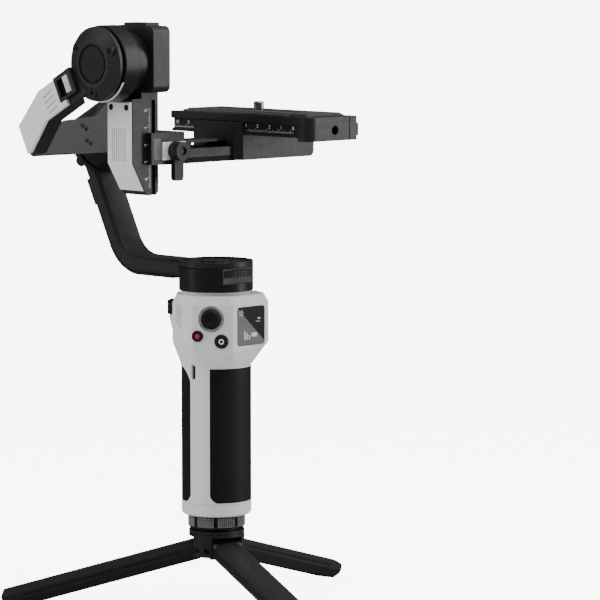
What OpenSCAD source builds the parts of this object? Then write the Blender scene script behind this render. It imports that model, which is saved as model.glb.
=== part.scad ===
// Three-axis handheld camera gimbal on a folding mini tripod.
// Millimetres. +Z is up, the origin is on the pan axis at floor level, and the lens looks along -Y.

/* [Tripod] */
// Length of each leg from its hinge pin to its tip
leg_len = 122; // [110:1:130]
// Slope of an open leg below the horizontal, in degrees
leg_pitch = 15.5; // [13:0.5:18]
// Turn of the first leg about the pan axis, in degrees
leg_turn = 13.6; // [0:0.2:30]
// Distance of the hinge pins from the pan axis
leg_hinge_r = 11; // [10.8:0.1:11.4]
// Outer radius of the tripod hub
hub_r = 16.7; // [16.2:0.1:17.2]
// Outer radius of the mounting ring under its knurl
mount_ring_r = 16.9; // [16:0.1:17.2]

/* [Handle] */
// Outer radius of the handle
handle_r = 20.9; // [20.5:0.1:21.5]
// Height of the handle's bottom face
handle_z0 = 59; // [59:0.1:59.4]
// Height where the grips end and the control head begins
grip_z1 = 148; // [140:1:150]
// Turn of the control head about the pan axis, in degrees
head_turn = -43; // [-50:1:-36]

/* [Motors] */
// Outer radius of the pan motor
motor_r = 22.2; // [21.6:0.1:22.6]
// Outer radius of the roll motor
roll_r = 20.2; // [19.8:0.1:20.6]
// Outer radius of the tilt motor
tilt_r = 22.2; // [21.6:0.1:22.4]
// Height of the pan motor's bottom face
pan_z0 = 194.7; // [194.7:0.1:195.5]
// Height of the point where the roll and tilt axes meet the pan axis
axes_z = 330.5; // [328:0.5:332]
// Slope of the roll axis, which falls towards the back, in degrees
roll_slope = 27; // [26:0.5:28]

/* [Arms] */
// Width of the pan arm
pan_arm_w = 20; // [18:1:22]
// Thickness of the pan arm
pan_arm_t = 10; // [9:0.5:10]
// Distance of the roll bracket behind the axes' meeting point
roll_back = 118.2; // [118:0.1:119]
// Distance of the tilt arm's outer face from the pan axis
tilt_arm_x = 75; // [74:0.5:76]

/* [Camera plate] */
// Middle of the camera plate, to the right of the pan axis
plate_x = 24; // [23:0.5:25]
// Half the width of the camera plate's upper part
plate_half_w = 20.5; // [20:0.1:21]
// Height of the camera plate's top face
plate_z1 = 298.5; // [298:0.1:299.5]
// Distance of the plate's front face in front of the pan axis
plate_front = 75.3; // [72:0.1:80]
// Distance of the plate's rear end behind the pan axis
plate_rear = 43.3; // [40:0.1:44]

/* [Hidden] */

$fn = 64;
eps = 0.01;

// Colours
shell_grey = [0.80, 0.81, 0.82];
plastic_black = [0.13, 0.13, 0.14];
metal_black = [0.17, 0.17, 0.18];
rubber_black = [0.09, 0.09, 0.09];
silver = [0.78, 0.79, 0.80];
steel = [0.60, 0.61, 0.63];
board_green = [0.08, 0.30, 0.20];
cell_blue = [0.15, 0.30, 0.55];
glass_black = [0.06, 0.06, 0.08];

// Clearances
run_gap = 0.05;
slide_gap = 0.15;

// Tripod
leg_w = 19;
leg_top = 6;
leg_bottom = 6;
leg_crown_r = 17;
pad_end = leg_len - 3;
hinge_z = pad_end * sin(leg_pitch) + leg_bottom * cos(leg_pitch);
hub_z0 = 33.7;
hub_z1 = 49.3;
hub_roof = 45.6;
ring_z0 = 51.2;
ring_z1 = 58.5;
pin_r = 1.5;
stud_r = 3.1;
camera_thread_r = 3.1;
camera_screw_y = -12;
camera_stud_z = 302;

// Handle
wall = 1.9;
grip_t = 1.6;
grip_z0 = 67.5;
cap_top = 66.5;
split_turn = -25;
bore_r = handle_r - grip_t - wall;
right_grip = [-143.8, 0];
left_grip = [36, 179.4];
left_corner = 12;
head_z0 = 163;
head_z1 = 186.5;
head_top = 191.6;
stick_turn = head_turn - 98;
stick_d = 25.4;
stick_z = 178.5;
screen_turn = head_turn - 45.3;
screen_d = 25.96;
screen_z = 173.5;

// Pan motor
pan_split = 207.6;
pan_top = 211.3;
arm_z = pan_z0 + 10.5;

// Brackets of the roll and tilt motors
lug_r = 16.6;
lug_hole = 0.85;
bracket_face_r = 13.5;
base_r = 11.6;
can_gap = 1.8;

// Roll motor
roll_bracket_t = 7.4;
roll_turns = [94.5, 214.5, 334.5];
roll_plate_l = 92;
roll_plate_t = 10;
roll_end_r = 18.5;

// Tilt motor and arm
tilt_face = 97;
tilt_bracket_t = 4.7;
tilt_turns = [2, 122, 242];
can_in = 68;
tilt_can_h = tilt_face - tilt_bracket_t - can_gap - can_in;
tilt_neck_h = 10.6;
tilt_neck_r = 18;
side_in = 86;
side_out = 96;
block_in = 55;

// Camera plate
dove_half_w = 18;
plate_z0 = 286.5;
plate_step = 294.3;
rail_x1 = 68;
rail_z0 = 271;

// ---------- shared shapes ----------

// A flat ring.
module ring(ro, ri, h) {
    difference() {
        cylinder(r = ro, h = h);
        translate([0, 0, -1])
            cylinder(r = ri, h = h + 2);
    }
}

// A box given by its two opposite corners.
module block(a, b) {
    translate(a)
        cube(b - a);
}

// Outline of a bar with chamfered edges, centred on the origin.
function bar_outline(w, t, c) = [
    [-w / 2 + c, -t / 2], [w / 2 - c, -t / 2], [w / 2, -t / 2 + c], [w / 2, t / 2 - c],
    [w / 2 - c, t / 2], [-w / 2 + c, t / 2], [-w / 2, t / 2 - c], [-w / 2, -t / 2 + c]
];

// A flat outline with rounded corners, made from plain squares and circles.
module round_rect(w, h, r) {
    square([w - 2 * r, h], center = true);
    square([w, h - 2 * r], center = true);
    for (x = [-1, 1], y = [-1, 1])
        translate([x * (w / 2 - r), y * (h / 2 - r)])
            circle(r = r);
}

// Stands children on a face of the control head: local -Y is the way the face looks.
module on_face(turn, d, u, z) {
    rotate([0, 0, turn + 90])
        translate([u, -d, z])
            children();
}

// A disc along local -Y with its outer end at out.
module face_disc(r, depth, out) {
    translate([0, depth - out, 0])
        rotate([90, 0, 0])
            cylinder(r = r, h = depth);
}

// A socket-head screw that points down local -Z, with its head's underside at the origin.
module screw(r, len, head_r, head_h) {
    translate([0, 0, -len])
        cylinder(r = r, h = len + eps);
    difference() {
        cylinder(r = head_r, h = head_h);
        translate([0, 0, head_h * 0.4])
            cylinder(r = head_r * 0.55, h = head_h, $fn = 6);
    }
}

// ---------- motors, along +Z with z = 0 at the fixed end ----------

shaft_r = 2.5;
bearing_r = 5.2;
tube_r = 7;

// The winding core of a motor: a laminated ring of twelve toothed poles with its coils.
module stator_core(z0, z1, r_out) {
    teeth = 12;
    color(steel)
        difference() {
            translate([0, 0, z0])
                ring(r_out, tube_r + run_gap, z1 - z0);
            for (i = [0:teeth - 1])
                rotate([0, 0, i * 360 / teeth])
                    translate([tube_r + 2.4, -0.9, z0 - 1])
                        cube([r_out, 1.8, z1 - z0 + 2]);
        }
}

// Two ball bearings, one at each end of the fixed tube.
module bearing_pair(z0, z1) {
    color(silver)
        for (z = [z0, z1 - 3])
            translate([0, 0, z])
                difference() {
                    ring(bearing_r, shaft_r + 0.03, 3);
                    translate([0, 0, 2.5])
                        ring(bearing_r - 0.8, shaft_r + 0.8, 1);
                }
}

// Shaft and magnet ring of a motor, which turn together.
module rotor_set(z0, z1, r_in, r_out, m0, m1) {
    color(steel) {
        translate([0, 0, z0])
            cylinder(r = shaft_r, h = z1 - z0);
        translate([0, 0, m0])
            ring(r_out, r_in, m1 - m0);
    }
}

// ---------- tripod ----------

// Stands children at a leg's hinge: local +X points outwards and down the leg.
module at_leg(i) {
    rotate([0, 0, leg_turn + 120 * (i - 1)])
        translate([leg_hinge_r, 0, hinge_z])
            rotate([0, leg_pitch, 0])
                children();
}

// Section of a leg, across local Y and Z.
module leg_section() {
    intersection() {
        translate([0, leg_top - leg_crown_r])
            circle(r = leg_crown_r, $fn = 96);
        polygon([[-5.9, -leg_bottom], [5.9, -leg_bottom], [leg_w / 2, -1], [leg_w / 2, leg_top],
            [-leg_w / 2, leg_top], [-leg_w / 2, -1]]);
    }
}

// Extrudes a Y-Z section along local +X.
module along_x(x0, x1) {
    translate([x0, 0, 0])
        rotate([90, 0, 90])
            linear_extrude(x1 - x0)
                children();
}

module leg(i) {
    color(plastic_black)
        at_leg(i)
            difference() {
                union() {
                    rotate([90, 0, 0])
                        cylinder(r = 5.2, h = leg_w, center = true);
                    intersection() {
                        along_x(0, leg_len)
                            leg_section();
                        // The tip is cut back below its crown.
                        translate([0, 20, 0])
                            rotate([90, 0, 0])
                                linear_extrude(40)
                                    polygon([[0, -8], [leg_len - 4, -8], [leg_len, -3], [leg_len, 3.5],
                                        [leg_len - 2.5, 8], [0, 8]]);
                    }
                }
                rotate([90, 0, 0])
                    cylinder(r = pin_r + run_gap, h = 30, center = true);
                // Pocket for the rubber pad
                block([13.9, -4.9, -leg_bottom - 1], [pad_end + 0.1, 4.9, -leg_bottom + 2.5]);
                // Grooves across the top near the tip
                for (y = [-1, 1])
                    translate([0, y * (leg_w / 2), 1])
                        rotate([0, 90, 0])
                            translate([0, 0, 10])
                                cylinder(r = 0.5, h = leg_len - 24, $fn = 24);
            }
}

module leg_pad(i) {
    pitch = 4.2;
    color(rubber_black)
        at_leg(i)
            difference() {
                block([14, -4.8, -leg_bottom], [pad_end, 4.8, -leg_bottom + 2.4]);
                for (x = [16:pitch:pad_end - 2])
                    block([x, -5, -leg_bottom - 1], [x + 1.2, 5, -leg_bottom + 0.8]);
                for (y = [-1.6, 1.6])
                    block([13, y - 0.5, -leg_bottom - 1], [pad_end + 1, y + 0.5, -leg_bottom + 0.8]);
            }
}

module tripod_hub() {
    color(plastic_black)
        difference() {
            translate([0, 0, hub_z0])
                cylinder(r = hub_r, h = hub_z1 - hub_z0);
            translate([0, 0, hub_z0 - 1])
                cylinder(r = leg_hinge_r + 0.4, h = hub_roof - hub_z0 + 1);
            for (i = [0:2])
                rotate([0, 0, leg_turn + 120 * i]) {
                    block([0, -leg_w / 2 - 0.3, hub_z0 - 1], [hub_r + 5, leg_w / 2 + 0.3, hub_roof]);
                    translate([leg_hinge_r, 0, hinge_z])
                        rotate([90, 0, 0])
                            cylinder(r = pin_r + 0.02, h = 2 * hub_r, center = true);
                }
            // Socket for the mounting ring's pivot
            translate([0, 0, hub_roof - 1])
                cylinder(r = 6 + run_gap, h = 10);
            // Groove under the top edge
            translate([0, 0, hub_z1 - 2.2])
                ring(hub_r + 1, hub_r - 0.5, 0.7);
        }
}

module leg_pins() {
    color(steel)
        for (i = [0:2])
            rotate([0, 0, leg_turn + 120 * i])
                translate([leg_hinge_r, 0, hinge_z])
                    rotate([90, 0, 0])
                        cylinder(r = pin_r, h = 24, center = true);
}

// Knurled ring with the stud that screws into the handle and the pivot that turns in the hub.
module mount_ring() {
    bands = 8;
    color(metal_black) {
        difference() {
            translate([0, 0, ring_z0])
                cylinder(r = mount_ring_r, h = ring_z1 - ring_z0);
            for (i = [0:bands - 1])
                rotate([0, 0, i * 360 / bands])
                    block([mount_ring_r - 0.7, -1, ring_z0 + 1], [mount_ring_r + 1, 1, ring_z1 - 1]);
        }
        translate([0, 0, hub_z1 + run_gap])
            cylinder(r = 14, h = ring_z0 - hub_z1);
        translate([0, 0, hub_roof + 0.4])
            cylinder(r = 6, h = hub_z1 - hub_roof);
        translate([0, 0, ring_z1 - eps])
            cylinder(r = 12, h = handle_z0 - ring_z1 - run_gap);
        translate([0, 0, ring_z1])
            cylinder(r = stud_r, h = 7.5);
    }
}

// ---------- handle ----------

// Body of the control head, grown by g on every side; it blends into the round handle below.
module head_body(g) {
    corners = [[-13, -21.4], [9, -24.6], [28.5, -5], [28.6, 0], [24, 12], [9, 21.5], [-13, 20], [-22.5, 8],
        [-23.4, -6]];
    corner_r = 2.6;
    rotate([0, 0, head_turn])
        hull() {
            for (c = corners)
                translate([c.x, c.y, head_z0])
                    cylinder(r = corner_r + g, h = head_z1 - head_z0, $fn = 24);
            for (c = corners)
                translate([c.x * 0.9, c.y * 0.9, head_z0])
                    cylinder(r = corner_r + g, h = head_top - head_z0 + g, $fn = 24);
            translate([0, 0, grip_z1 + 1 - g])
                cylinder(r = handle_r + 0.13 + g, h = 3, $fn = 64);
            // The lower edge dips under the corner between the two faces
            translate([9, -24.6, head_z0 - 4.5])
                cylinder(r = corner_r + g, h = 5, $fn = 24);
        }
}

// Rest for the index finger, below the trigger.
module finger_rest(g) {
    rotate([0, 0, head_turn - 100])
        hull() {
            translate([0, -25.2, 177])
                sphere(r = 3.2 + g, $fn = 32);
            translate([-5, -23, 177])
                sphere(r = 3.2 + g, $fn = 32);
            translate([5, -23, 177])
                sphere(r = 3.2 + g, $fn = 32);
            translate([0, -17.5, 158])
                cylinder(r = 5 + g, h = 34 + g, $fn = 32);
            translate([0, -16.5, 145])
                cylinder(r = 4.2 + g, h = 10, $fn = 32);
        }
}

// Keeps the front half of the handle, or the rear half, split by an upright plane.
module half(front) {
    rotate([0, 0, split_turn])
        translate([-60, front ? -60 : 0, 0])
            cube([120, 60, 260]);
}

// The outer form of both shell halves before they are hollowed.
module shell_solid() {
    translate([0, 0, cap_top])
        cylinder(r = handle_r, h = grip_z1 + 4 - cap_top, $fn = 96);
    head_body(0);
    finger_rest(0);
}

module shell_hollow() {
    translate([0, 0, cap_top - 1])
        cylinder(r = bore_r, h = 92);
    head_body(-2.2);
}

// The corner's centre is this much closer to the pad's edges than its radius.
corner_inset = 0.4;

// What lies outside one rounded corner of a grip pad. side and up are 1 at the end with the greater
// turn and at the top, and 0 at the other end and at the bottom.
module corner_waste(edge, side, up, corner, g) {
    in_turn = asin((corner - corner_inset) / handle_r);
    rotate([0, 0, edge[side] + (side == 0 ? in_turn : -in_turn)])
        translate([0, 0, up == 0 ? grip_z0 + corner - corner_inset : grip_z1 - corner + corner_inset])
            rotate([90, 0, 90])
                translate([0, 0, handle_r - 8])
                    linear_extrude(10)
                        difference() {
                            translate([side == 0 ? -corner - 3 : 0, up == 0 ? -corner - 3 : 0])
                                square(corner + 3);
                            circle(r = corner + g);
                        }
}

// The space that one grip pad fills, with rounded lower corners; wide_corner rounds the upper corner
// at the end with the greater turn, where the pad gives way to the control head.
module grip_sector(edge, g, wide_corner = 0) {
    difference() {
        translate([0, 0, grip_z0 - g])
            rotate([0, 0, edge[0]])
                rotate_extrude(angle = edge[1] - edge[0], $fn = 96)
                    translate([handle_r - grip_t, 0])
                        square([grip_t + (g > 0 ? 1 : 0), grip_z1 - grip_z0 + 2 * g]);
        corner_waste(edge, 0, 0, 7, g);
        corner_waste(edge, 1, 0, 7, g);
        if (wide_corner > 0)
            corner_waste(edge, 1, 1, wide_corner, g);
    }
}

// Everything that is cut out of the front shell's faces.
module face_cuts() {
    on_face(stick_turn, stick_d, 0.6, stick_z)
        face_disc(7.6, 14, 3);
    on_face(stick_turn, stick_d, -7.6, 168.2)
        face_disc(3.35, 14, 3);
    on_face(stick_turn, stick_d, 6.7, 165.2)
        face_disc(4.15, 14, 3);
    on_face(screen_turn, screen_d, 3, screen_z)
        rotate([90, 0, 0])
            translate([0, 0, -1.1])
                linear_extrude(6)
                    round_rect(23.4, 23.2, 2);
    on_face(screen_turn, screen_d, 3, screen_z)
        rotate([90, 0, 0])
            translate([0, 0, -8])
                linear_extrude(12)
                    round_rect(18, 18, 2);
    // Slot of the charging port
    rotate([0, 0, -173.5])
        translate([handle_r - 5, 0, 145.8])
            rotate([90, 0, 90])
                linear_extrude(8)
                    round_rect(3.0, 9.2, 1.45);
    // Trigger opening
    rotate([0, 0, head_turn - 100])
        block([-5.2, -34, 178.6], [5.2, -12, 187.4]);
    // Slanted lines beside the trigger
    for (i = [0:4])
        rotate([0, 0, head_turn - 56])
            translate([-1.2 - 0.4 * i, -26.6, 184 - 2.4 * i])
                rotate([0, 40, 0])
                    cube([8, 4, 0.7], center = true);
}

module shell_holes() {
    // Seats of the two grip pads
    grip_sector(right_grip, 0.05);
    grip_sector(left_grip, 0.05, left_corner);
    face_cuts();
    // Screw holes under the pan motor
    for (a = [45:90:315])
        rotate([0, 0, a])
            translate([15, 0, 185])
                cylinder(r = 1.15, h = 12);
    // Wire hole under the pan motor
    translate([0, 0, 185])
        cylinder(r = 5, h = 12);
    // Flat seat for the pan motor
    translate([0, 0, pan_z0 - 1])
        cylinder(r = 40, h = 20);
}

module neck() {
    translate([0, 0, head_top - 2.2])
        cylinder(r = 20.6, h = pan_z0 - 1 - head_top + 2.2);
}

module handle_half(front) {
    color(shell_grey)
        intersection() {
            difference() {
                union() {
                    shell_solid();
                    neck();
                }
                shell_hollow();
                shell_holes();
            }
            half(front);
        }
}

module handle_shell_front() {
    handle_half(true);
}

module handle_shell_rear() {
    handle_half(false);
}

module handle_base_cap() {
    color(shell_grey)
        difference() {
            union() {
                translate([0, 0, handle_z0 + 1])
                    cylinder(r = handle_r, h = cap_top - handle_z0 - 1.1, $fn = 96);
                translate([0, 0, handle_z0])
                    cylinder(r1 = handle_r - 1, r2 = handle_r, h = 1 + eps, $fn = 96);
                translate([0, 0, cap_top - 1])
                    cylinder(r = bore_r - 0.1, h = 4);
            }
            translate([0, 0, handle_z0 + 2.4])
                difference() {
                    cylinder(r = bore_r - 1.8, h = 20);
                    cylinder(r = 7.5, h = 20);
                    for (a = [0:120:240])
                        rotate([0, 0, a])
                            translate([12, 0, 0])
                                cylinder(r = 2.6, h = 20);
                }
            translate([0, 0, handle_z0 - 1])
                cylinder(r = 5.52, h = 20);
            for (a = [0:120:240])
                rotate([0, 0, a])
                    translate([12, 0, handle_z0 - 1]) {
                        cylinder(r = 1.12, h = 20);
                        cylinder(r = 2.1, h = 2.2);
                    }
        }
}

module base_socket() {
    color(silver)
        translate([0, 0, handle_z0 + 0.1])
            ring(5.5, stud_r + run_gap, 9);
}

module grip_pad_right() {
    color(rubber_black)
        grip_sector(right_grip, 0);
}

module grip_pad_left() {
    color(rubber_black)
        grip_sector(left_grip, 0, left_corner);
}

module screen_glass() {
    color(glass_black)
        on_face(screen_turn, screen_d, 3, screen_z)
            rotate([90, 0, 0])
                translate([0, 0, -1.05])
                    linear_extrude(1.2)
                        round_rect(23, 22.8, 1.9);
}

module main_board() {
    color(board_green)
        rotate([0, 0, head_turn]) {
            translate([6, 4, 172])
                cube([24, 1.4, 26], center = true);
            for (x = [0, 8], z = [166, 177])
                translate([x, 5.6, z])
                    cube([5, 1.7, 5], center = true);
        }
}

module battery_cells() {
    cell_r = 7.4;
    color(cell_blue)
        for (a = [0:120:240])
            rotate([0, 0, a + 20])
                translate([cell_r * 1.17, 0, 74])
                    cylinder(r = cell_r, h = 66);
}

module usb_socket() {
    color(silver)
        rotate([0, 0, -173.5])
            translate([handle_r - 8.6, 0, 145.8])
                rotate([90, 0, 90])
                    linear_extrude(7.2)
                        difference() {
                            round_rect(2.8, 8.9, 1.35);
                            round_rect(2.1, 8.2, 1.0);
                        }
}

module handle_screws() {
    color(steel) {
        for (a = [0:120:240])
            rotate([0, 0, a])
                translate([12, 0, handle_z0 + 1.1])
                    mirror([0, 0, 1])
                        screw(1.05, 6, 2, 1);
        for (a = [45:90:315])
            rotate([0, 0, a])
                translate([15, 0, 188.4])
                    mirror([0, 0, 1])
                        screw(1.05, 8, 2, 1.4);
    }
}

// Cradle that tilts about the joystick's level axis.
module joystick_cradle() {
    color(metal_black)
        on_face(stick_turn, stick_d, 0.6, stick_z)
            translate([0, 5.5, 0])
                difference() {
                    union() {
                        cube([8, 3.4, 8], center = true);
                        rotate([0, 90, 0])
                            cylinder(r = 1, h = 11, center = true);
                    }
                    cube([5.2, 5, 5.2], center = true);
                    cylinder(r = 0.75, h = 20, center = true);
                }
}

module joystick() {
    color(rubber_black)
        on_face(stick_turn, stick_d, 0.6, stick_z) {
            // Domed cap with a dished top
            translate([0, -0.2, 0])
                rotate([90, 0, 0])
                    difference() {
                        union() {
                            cylinder(r = 6.1, h = 1.2);
                            translate([0, 0, 1.19])
                                cylinder(r1 = 6.1, r2 = 4.6, h = 1.3);
                        }
                        translate([0, 0, 9.6])
                            sphere(r = 8, $fn = 64);
                    }
            translate([0, 5.5, 0]) {
                rotate([90, 0, 0])
                    cylinder(r = 1.6, h = 6.2);
                cylinder(r = 0.7, h = 7.4, center = true);
            }
        }
}

module record_button() {
    color(plastic_black)
        on_face(stick_turn, stick_d, -7.6, 168.2)
            face_disc(3.3, 3.5, 0.9);
}

module mode_button() {
    color(plastic_black)
        on_face(stick_turn, stick_d, 6.7, 165.2)
            face_disc(4.1, 3.5, 0.9);
}

module trigger() {
    groove_r = 1.6;
    color(plastic_black)
        rotate([0, 0, head_turn - 100])
            difference() {
                block([-5, -28.6, 178.8], [5, -21.4, 187.2]);
                translate([0, -29.6, 175])
                    cylinder(r = groove_r, h = 20);
            }
}

// ---------- pan axis ----------

lock_turn = head_turn - 48;

module pan_motor_housing() {
    h = pan_split - pan_z0;
    color(metal_black)
        difference() {
            union() {
                translate([0, 0, pan_z0 - 1])
                    cylinder(r = motor_r, h = h + 1, $fn = 96);
            }
            // Winding space
            translate([0, 0, pan_z0 + 2.2])
                difference() {
                    cylinder(r = motor_r - 1.9, h = h, $fn = 96);
                    cylinder(r = tube_r, h = h - 3.2);
                    rotate([0, 0, lock_turn])
                        block([motor_r - 5.4, -13, -1], [motor_r + 1, 13, h]);
                }
            translate([0, 0, pan_z0 - 2])
                cylinder(r = bearing_r + 0.02, h = h + 3);
            for (a = [45:90:315])
                rotate([0, 0, a])
                    translate([15, 0, pan_z0 - 2])
                        cylinder(r = 1.12, h = 4);
            // Recess of the lock slider
            rotate([0, 0, lock_turn])
                intersection() {
                    block([motor_r - 3.2, -11.6, 198.6], [motor_r + 1, 11.6, pan_split + 1]);
                    cylinder(r = motor_r + 1, h = 300);
                }
        }
}

module pan_stator() {
    stator_core(pan_z0 + 3.4, pan_split - 4.4, 12.6);
}

module pan_bearings() {
    bearing_pair(pan_z0 - 0.6, pan_split - 1.2);
}

module pan_rotor() {
    rotor_set(pan_z0 + 0.4, pan_top - 1.4, 13, 15.4, pan_z0 + 3.4, pan_split + 0.4);
}

module pan_lock_slider() {
    color(metal_black)
        rotate([0, 0, lock_turn])
            difference() {
                intersection() {
                    block([motor_r - 3.1, -11.2, 202.4], [motor_r, 11.2, 206.6]);
                    cylinder(r = motor_r - 0.2, h = 300, $fn = 96);
                }
                for (y = [-6:2:6])
                    block([motor_r - 0.7, y - 0.3, 202], [motor_r + 1, y + 0.3, 207]);
            }
}

// The arm's elbow between its level part and its raised part.
elbow_r = 24;
elbow_angle = 90 - roll_slope;
arm_mid_l = roll_back + pan_arm_t / 2;
elbow_y = (arm_mid_l + (arm_z - axes_z) * sin(roll_slope)) / cos(roll_slope);
bend_len = elbow_r * tan(elbow_angle / 2);

// Stands children in the roll axis' frame: +Y runs back down the axis and +Z is up across it.
module roll_frame() {
    translate([0, 0, axes_z])
        rotate([-roll_slope, 0, 0])
            children();
}

// How far the straight parts of the arm run into its elbow, and how much smaller they are on each side
lap = 1;
inset = 0.04;

// The bar of the pan arm, level, bent and raised, in one section of the given outline.
module arm_run(w, t, c, shift, y0, v1) {
    // shift moves the section away from the bend's centre
    straight = bar_outline(w - 2 * inset, t - 2 * inset, c);
    translate([0, y0, arm_z - shift])
        rotate([-90, 0, 0])
            linear_extrude(elbow_y - bend_len - y0 + lap)
                polygon(straight);
    translate([0, elbow_y - bend_len, arm_z + elbow_r])
        rotate([90, 0, 90])
            rotate([0, 0, -90])
                rotate_extrude(angle = elbow_angle, $fn = 128)
                    translate([elbow_r + shift, 0])
                        polygon(bar_outline(t, w, c));
    roll_frame()
        translate([0, arm_mid_l + shift, v1])
            mirror([0, 0, 1])
                linear_extrude(v1 - elbow_v + lap)
                    polygon(straight);
}

// Height across the roll axis where the raised part begins.
elbow_v = (arm_z - axes_z) / cos(roll_slope) + arm_mid_l * tan(roll_slope) + bend_len;

module pan_arm() {
    color(plastic_black)
        difference() {
            union() {
                difference() {
                    arm_run(pan_arm_w, pan_arm_t, 2, 0, 15, -8);
                    translate([0, 0, pan_z0 - 5])
                        cylinder(r = motor_r + 0.6, h = pan_split + 0.5 - pan_z0 + 5, $fn = 96);
                }
                translate([0, 0, pan_split + 0.5])
                    cylinder(r = motor_r, h = pan_top - pan_split - 0.5, $fn = 96);
                at_roll_motor()
                    bracket_bowl(roll_r, roll_bracket_t, 4, roll_turns);
                // Block of the roll lock
                roll_frame()
                    block([-8, roll_back, -36], [8, roll_back + pan_arm_t + 2.6, -19.5]);
            }
            // Clear bore for the magnet ring
            translate([0, 0, pan_split])
                cylinder(r = 15.5, h = 0.95);
            translate([0, 0, pan_split])
                cylinder(r = shaft_r + 0.02, h = 2.35);
            // Dished top with a raised rim
            translate([0, 0, pan_top - 0.9])
                ring(motor_r - 2.4, 9.5, 2);
            at_roll_motor()
                bracket_bores(roll_bracket_t, roll_turns);
            // The motor's end stays clear of the arm's upper end
            roll_frame() {
                translate([0, roll_back - 6, 0])
                    rotate([-90, 0, 0])
                        cylinder(r = roll_r + 1, h = 6);
                // Slot of the roll lock slider
                block([-6.9, roll_back + pan_arm_t - 0.4, -32], [6.9, roll_back + pan_arm_t + 4, -23.4]);
            }
        }
}

module pan_arm_cover() {
    color(plastic_black)
        difference() {
            arm_run(16.4, 1.6, 0.5, pan_arm_t / 2 + 0.85, 30, -36.6);
            roll_frame()
                block([-20, roll_back, -36.2], [20, roll_back + 30, 0]);
        }
}

// Bracket that holds a motor's fixed end: a bevelled disc with three lugs, z = 0 at its outer face.
module bracket_bowl(r, t, bevel, turns) {
    rotate_extrude($fn = 96)
        polygon([[0, 0], [bracket_face_r, 0], [r, bevel], [r, t], [0, t]]);
    for (a = turns)
        rotate([0, 0, a])
            translate([lug_r, 0, 0.4])
                cylinder(r = 3.2, h = t - 0.4);
}

// Central bore and screw holes of a motor bracket.
module bracket_bores(t, turns) {
    translate([0, 0, -1])
        cylinder(r = base_r + 0.02, h = t + 2);
    for (a = turns)
        rotate([0, 0, a])
            translate([lug_r, 0, -1]) {
                cylinder(r = lug_hole, h = t + 2);
                cylinder(r = 2.1, h = 2.8);
            }
}

// Fixed end of the roll or tilt motor: a flanged disc with a tube for the bearings, along +Z.
module motor_base(t, tube_len, out, turns) {
    difference() {
        union() {
            translate([0, 0, -out])
                cylinder(r = base_r, h = t + out);
            translate([0, 0, t])
                cylinder(r = 18.2, h = 1.1);
            translate([0, 0, t])
                cylinder(r = tube_r, h = tube_len);
        }
        translate([0, 0, 2])
            cylinder(r = bearing_r + 0.02, h = t + tube_len);
        // Groove round the end disc
        translate([0, 0, -out - 1])
            ring(base_r - 0.5, base_r - 1.3, 2);
        for (a = turns)
            rotate([0, 0, a])
                translate([lug_r, 0, t - 1])
                    cylinder(r = lug_hole, h = 4);
    }
}

// Turning cup of the roll or tilt motor, along +Z from its open end, with an optional narrower neck.
module motor_can(r, h, neck_r, neck_h) {
    bevel = 0.7;
    difference() {
        union() {
            rotate_extrude($fn = 96)
                polygon([[0, 0], [r - bevel, 0], [r, bevel], [r, h - neck_h - bevel],
                    [r - bevel, h - neck_h], [0, h - neck_h]]);
            cylinder(r = neck_r, h = h, $fn = 96);
        }
        translate([0, 0, -1])
            cylinder(r = r - 1.8, h = h - neck_h - 1.2, $fn = 96);
        translate([0, 0, -1])
            cylinder(r = neck_r - 1.8, h = h - 1.4, $fn = 96);
        translate([0, 0, -1])
            cylinder(r = shaft_r + 0.02, h = h + 2);
    }
}

// Puts a motor that points forward along the roll axis; z = 0 at its bracket's rear face.
module at_roll_motor() {
    roll_frame()
        translate([0, roll_back + roll_bracket_t, 0])
            rotate([90, 0, 0])
                children();
}

// Puts a motor that points along +X on the tilt axis; z = 0 at its bracket's outer face.
module at_tilt_motor() {
    translate([-tilt_face, 0, axes_z])
        rotate([0, 90, 0])
            children();
}

roll_can_h = roll_back - can_gap - roll_plate_l - 0.1;

module roll_motor_base() {
    color(metal_black)
        at_roll_motor()
            motor_base(roll_bracket_t, roll_can_h - 2.6, 1, roll_turns);
}

module roll_stator() {
    at_roll_motor()
        translate([0, 0, roll_bracket_t + can_gap])
            stator_core(1, roll_can_h - 6, 13.6);
}

module roll_bearings() {
    at_roll_motor()
        bearing_pair(roll_bracket_t - 3.2, roll_bracket_t + roll_can_h - 2.8);
}

module roll_rotor() {
    at_roll_motor()
        translate([0, 0, roll_bracket_t + can_gap])
            rotor_set(-4.5, roll_can_h - 0.2, 14.2, 18.3, 1, roll_can_h - 4);
}

module pan_arm_screws() {
    color(steel)
        at_roll_motor()
            for (a = roll_turns)
                rotate([0, 0, a])
                    translate([lug_r, 0, 1.75])
                        mirror([0, 0, 1])
                            screw(0.8, roll_bracket_t - 1, 1.9, 1.1);
}

module roll_lock_slider() {
    color(silver)
        roll_frame()
            difference() {
                block([-3.2, roll_back + pan_arm_t - 0.3, -31.6], [3.2, roll_back + pan_arm_t + 3.6, -23.8]);
                for (x = [-2:1.3:2])
                    block([x - 0.3, roll_back + pan_arm_t + 3, -33], [x + 0.3, roll_back + pan_arm_t + 5, -22]);
            }
}

// ---------- roll axis ----------

plate_near = roll_plate_l - roll_plate_t;
corner_l = 72.5;
corner_cut = roll_plate_l - corner_l;

// Extrudes an outline drawn in back distance and height, from x0 to x1.
module side_slab(x0, x1) {
    translate([x0, 0, 0])
        rotate([90, 0, 90])
            linear_extrude(x1 - x0)
                children();
}

// Extrudes an outline drawn in X and back distance, from z0 to z1.
module plan_slab(z0, z1) {
    translate([0, 0, z0])
        linear_extrude(z1 - z0)
            children();
}

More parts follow.
